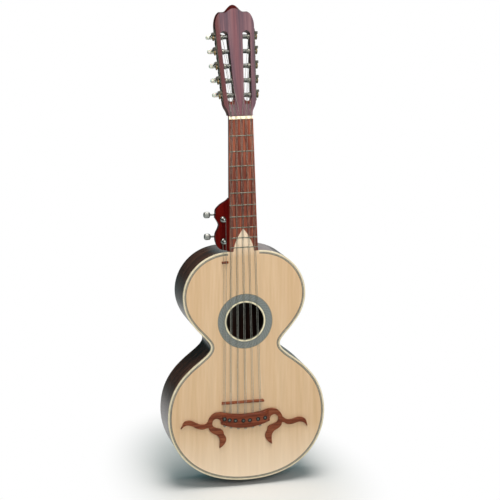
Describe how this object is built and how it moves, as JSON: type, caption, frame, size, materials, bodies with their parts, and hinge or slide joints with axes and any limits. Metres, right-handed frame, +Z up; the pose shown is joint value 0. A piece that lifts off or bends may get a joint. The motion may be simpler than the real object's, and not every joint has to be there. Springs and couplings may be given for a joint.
{
  "type": "portuguese viola",
  "caption": "Small narrow-waisted plucked instrument with paired strings, a slotted head with worm tuners, a scrolled bridge and a side peghead for a short course.",
  "frame": {"origin": "on the fingerboard's face at the nut's lower edge, on the centre line, where a hanger takes the neck", "axes": "+X to the treble side, +Y from the soundboard's face into the body, +Z up the neck to the head"},
  "size_m": [0.295, 0.0968, 0.8716],
  "materials": {
    "spruce": "satin varnish over straight-grained spruce, darker streaks along the grain",
    "rib_wood": "very dark rosewood, french polished to a high gloss",
    "neck_wood": "red-brown stained hardwood, gloss varnish",
    "head_veneer": "purple-brown veneer with a redder centre stripe, satin varnish",
    "fingerboard_wood": "streaky red-brown hardwood, oiled",
    "bone": "polished cream bone",
    "binding": "cream edge strip, polished",
    "inlay": "grey-green dyed inlay in thin parallel lines",
    "bridge_wood": "dark red-brown hardwood, satin",
    "inside_wood": "bare pale softwood",
    "red_lacquer": "deep red lacquer with a mirror gloss",
    "nickel": "nickel plate, lightly worn",
    "brass": "plain brass, slightly tarnished",
    "pearl_button": "pearly cream plastic",
    "string_steel": "plain and wound steel wire"
  },
  "bodies": {
    "instrument": {"soundboard": "spruce", "edge_binding": "binding", "purfling": "inlay", "rosette": "inlay", "back_plate": "rib_wood", "rib_bass": "rib_wood", "rib_treble": "rib_wood", "tail_block": "inside_wood", "soundboard_bar_1": "inside_wood", "soundboard_bar_2": "inside_wood", "back_bar_1": "inside_wood", "back_bar_2": "inside_wood", "neck": "neck_wood", "fingerboard": "fingerboard_wood", "nut": "bone", "headstock": "neck_wood", "head_veneer": "head_veneer", "tuner_plate_bass": "nickel", "tuner_plate_treble": "nickel", "side_peghead": "red_lacquer", "side_tuner_frame": "nickel", "bridge": "bridge_wood", "saddle_bar": "bridge_wood", "little_nut": "bridge_wood", "string_1": "string_steel", "string_2": "string_steel", "string_3": "string_steel", "string_4": "string_steel", "string_5": "string_steel", "string_6": "string_steel", "string_7": "string_steel", "string_8": "string_steel", "string_9": "string_steel", "string_10": "string_steel", "short_string_1": "string_steel", "short_string_2": "string_steel"},
    "roller_bass_1": {"roller_bass_1": "brass"},
    "worm_bass_1": {"worm_bass_1": "pearl_button"},
    "roller_bass_2": {"roller_bass_2": "brass"},
    "worm_bass_2": {"worm_bass_2": "pearl_button"},
    "roller_bass_3": {"roller_bass_3": "brass"},
    "worm_bass_3": {"worm_bass_3": "pearl_button"},
    "roller_bass_4": {"roller_bass_4": "brass"},
    "worm_bass_4": {"worm_bass_4": "pearl_button"},
    "roller_bass_5": {"roller_bass_5": "brass"},
    "worm_bass_5": {"worm_bass_5": "pearl_button"},
    "roller_treble_1": {"roller_treble_1": "brass"},
    "worm_treble_1": {"worm_treble_1": "pearl_button"},
    "roller_treble_2": {"roller_treble_2": "brass"},
    "worm_treble_2": {"worm_treble_2": "pearl_button"},
    "roller_treble_3": {"roller_treble_3": "brass"},
    "worm_treble_3": {"worm_treble_3": "pearl_button"},
    "roller_treble_4": {"roller_treble_4": "brass"},
    "worm_treble_4": {"worm_treble_4": "pearl_button"},
    "roller_treble_5": {"roller_treble_5": "brass"},
    "worm_treble_5": {"worm_treble_5": "pearl_button"},
    "short_post_1": {"short_post_1": "nickel"},
    "short_worm_1": {"short_worm_1": "nickel"},
    "short_post_2": {"short_post_2": "nickel"},
    "short_worm_2": {"short_worm_2": "nickel"}
  },
  "joints": [
    {"name": "roller_bass_1_turn", "type": "hinge", "parent": "instrument", "child": "roller_bass_1", "pos_m": [-0.03463, 0.01731, 0.04016], "axis": [-0.999, -0.01, -0.0433], "continuous": true},
    {"name": "worm_bass_1_turn", "type": "hinge", "parent": "instrument", "child": "worm_bass_1", "pos_m": [-0.03494, 0.01889, 0.04698], "axis": [0, 0.9744, -0.225], "continuous": true},
    {"name": "roller_bass_2_turn", "type": "hinge", "parent": "instrument", "child": "roller_bass_2", "pos_m": [-0.0358, 0.02323, 0.06579], "axis": [-0.999, -0.01, -0.0433], "continuous": true},
    {"name": "worm_bass_2_turn", "type": "hinge", "parent": "instrument", "child": "worm_bass_2", "pos_m": [-0.03611, 0.0248, 0.0726], "axis": [0, 0.9744, -0.225], "continuous": true},
    {"name": "roller_bass_3_turn", "type": "hinge", "parent": "instrument", "child": "roller_bass_3", "pos_m": [-0.03697, 0.02915, 0.09141], "axis": [-0.999, -0.01, -0.0433], "continuous": true},
    {"name": "worm_bass_3_turn", "type": "hinge", "parent": "instrument", "child": "worm_bass_3", "pos_m": [-0.03728, 0.03072, 0.09823], "axis": [0, 0.9744, -0.225], "continuous": true},
    {"name": "roller_bass_4_turn", "type": "hinge", "parent": "instrument", "child": "roller_bass_4", "pos_m": [-0.03814, 0.03506, 0.11704], "axis": [-0.999, -0.01, -0.0433], "continuous": true},
    {"name": "worm_bass_4_turn", "type": "hinge", "parent": "instrument", "child": "worm_bass_4", "pos_m": [-0.03845, 0.03663, 0.12385], "axis": [0, 0.9744, -0.225], "continuous": true},
    {"name": "roller_bass_5_turn", "type": "hinge", "parent": "instrument", "child": "roller_bass_5", "pos_m": [-0.03931, 0.04098, 0.14267], "axis": [-0.999, -0.01, -0.0433], "continuous": true},
    {"name": "worm_bass_5_turn", "type": "hinge", "parent": "instrument", "child": "worm_bass_5", "pos_m": [-0.03963, 0.04255, 0.14948], "axis": [0, 0.9744, -0.225], "continuous": true},
    {"name": "roller_treble_1_turn", "type": "hinge", "parent": "instrument", "child": "roller_treble_1", "pos_m": [0.03463, 0.01731, 0.04016], "axis": [0.999, -0.01, -0.0433], "continuous": true},
    {"name": "worm_treble_1_turn", "type": "hinge", "parent": "instrument", "child": "worm_treble_1", "pos_m": [0.03494, 0.01889, 0.04698], "axis": [0, 0.9744, -0.225], "continuous": true},
    {"name": "roller_treble_2_turn", "type": "hinge", "parent": "instrument", "child": "roller_treble_2", "pos_m": [0.0358, 0.02323, 0.06579], "axis": [0.999, -0.01, -0.0433], "continuous": true},
    {"name": "worm_treble_2_turn", "type": "hinge", "parent": "instrument", "child": "worm_treble_2", "pos_m": [0.03611, 0.0248, 0.0726], "axis": [0, 0.9744, -0.225], "continuous": true},
    {"name": "roller_treble_3_turn", "type": "hinge", "parent": "instrument", "child": "roller_treble_3", "pos_m": [0.03697, 0.02915, 0.09141], "axis": [0.999, -0.01, -0.0433], "continuous": true},
    {"name": "worm_treble_3_turn", "type": "hinge", "parent": "instrument", "child": "worm_treble_3", "pos_m": [0.03728, 0.03072, 0.09823], "axis": [0, 0.9744, -0.225], "continuous": true},
    {"name": "roller_treble_4_turn", "type": "hinge", "parent": "instrument", "child": "roller_treble_4", "pos_m": [0.03814, 0.03506, 0.11704], "axis": [0.999, -0.01, -0.0433], "continuous": true},
    {"name": "worm_treble_4_turn", "type": "hinge", "parent": "instrument", "child": "worm_treble_4", "pos_m": [0.03845, 0.03663, 0.12385], "axis": [0, 0.9744, -0.225], "continuous": true},
    {"name": "roller_treble_5_turn", "type": "hinge", "parent": "instrument", "child": "roller_treble_5", "pos_m": [0.03931, 0.04098, 0.14267], "axis": [0.999, -0.01, -0.0433], "continuous": true},
    {"name": "worm_treble_5_turn", "type": "hinge", "parent": "instrument", "child": "worm_treble_5", "pos_m": [0.03963, 0.04255, 0.14948], "axis": [0, 0.9744, -0.225], "continuous": true},
    {"name": "short_post_1_turn", "type": "hinge", "parent": "instrument", "child": "short_post_1", "pos_m": [-0.0362, 0.0201, -0.1803], "axis": [0, 1, 0], "continuous": true},
    {"name": "short_worm_1_turn", "type": "hinge", "parent": "instrument", "child": "short_worm_1", "pos_m": [-0.0362, 0.0201, -0.1733], "axis": [-1, 0, 0], "continuous": true},
    {"name": "short_post_2_turn", "type": "hinge", "parent": "instrument", "child": "short_post_2", "pos_m": [-0.0362, 0.0201, -0.2204], "axis": [0, 1, 0], "continuous": true},
    {"name": "short_worm_2_turn", "type": "hinge", "parent": "instrument", "child": "short_worm_2", "pos_m": [-0.0362, 0.0201, -0.2134], "axis": [-1, 0, 0], "continuous": true}
  ],
  "couplings": [
    {"joint": "roller_bass_1_turn", "follows": "worm_bass_1_turn", "ratio": 0.071429},
    {"joint": "roller_bass_2_turn", "follows": "worm_bass_2_turn", "ratio": 0.071429},
    {"joint": "roller_bass_3_turn", "follows": "worm_bass_3_turn", "ratio": 0.071429},
    {"joint": "roller_bass_4_turn", "follows": "worm_bass_4_turn", "ratio": 0.071429},
    {"joint": "roller_bass_5_turn", "follows": "worm_bass_5_turn", "ratio": 0.071429},
    {"joint": "roller_treble_1_turn", "follows": "worm_treble_1_turn", "ratio": 0.071429},
    {"joint": "roller_treble_2_turn", "follows": "worm_treble_2_turn", "ratio": 0.071429},
    {"joint": "roller_treble_3_turn", "follows": "worm_treble_3_turn", "ratio": 0.071429},
    {"joint": "roller_treble_4_turn", "follows": "worm_treble_4_turn", "ratio": 0.071429},
    {"joint": "roller_treble_5_turn", "follows": "worm_treble_5_turn", "ratio": 0.071429},
    {"joint": "short_post_1_turn", "follows": "short_worm_1_turn", "ratio": 0.071429},
    {"joint": "short_post_2_turn", "follows": "short_worm_2_turn", "ratio": 0.071429}
  ]
}
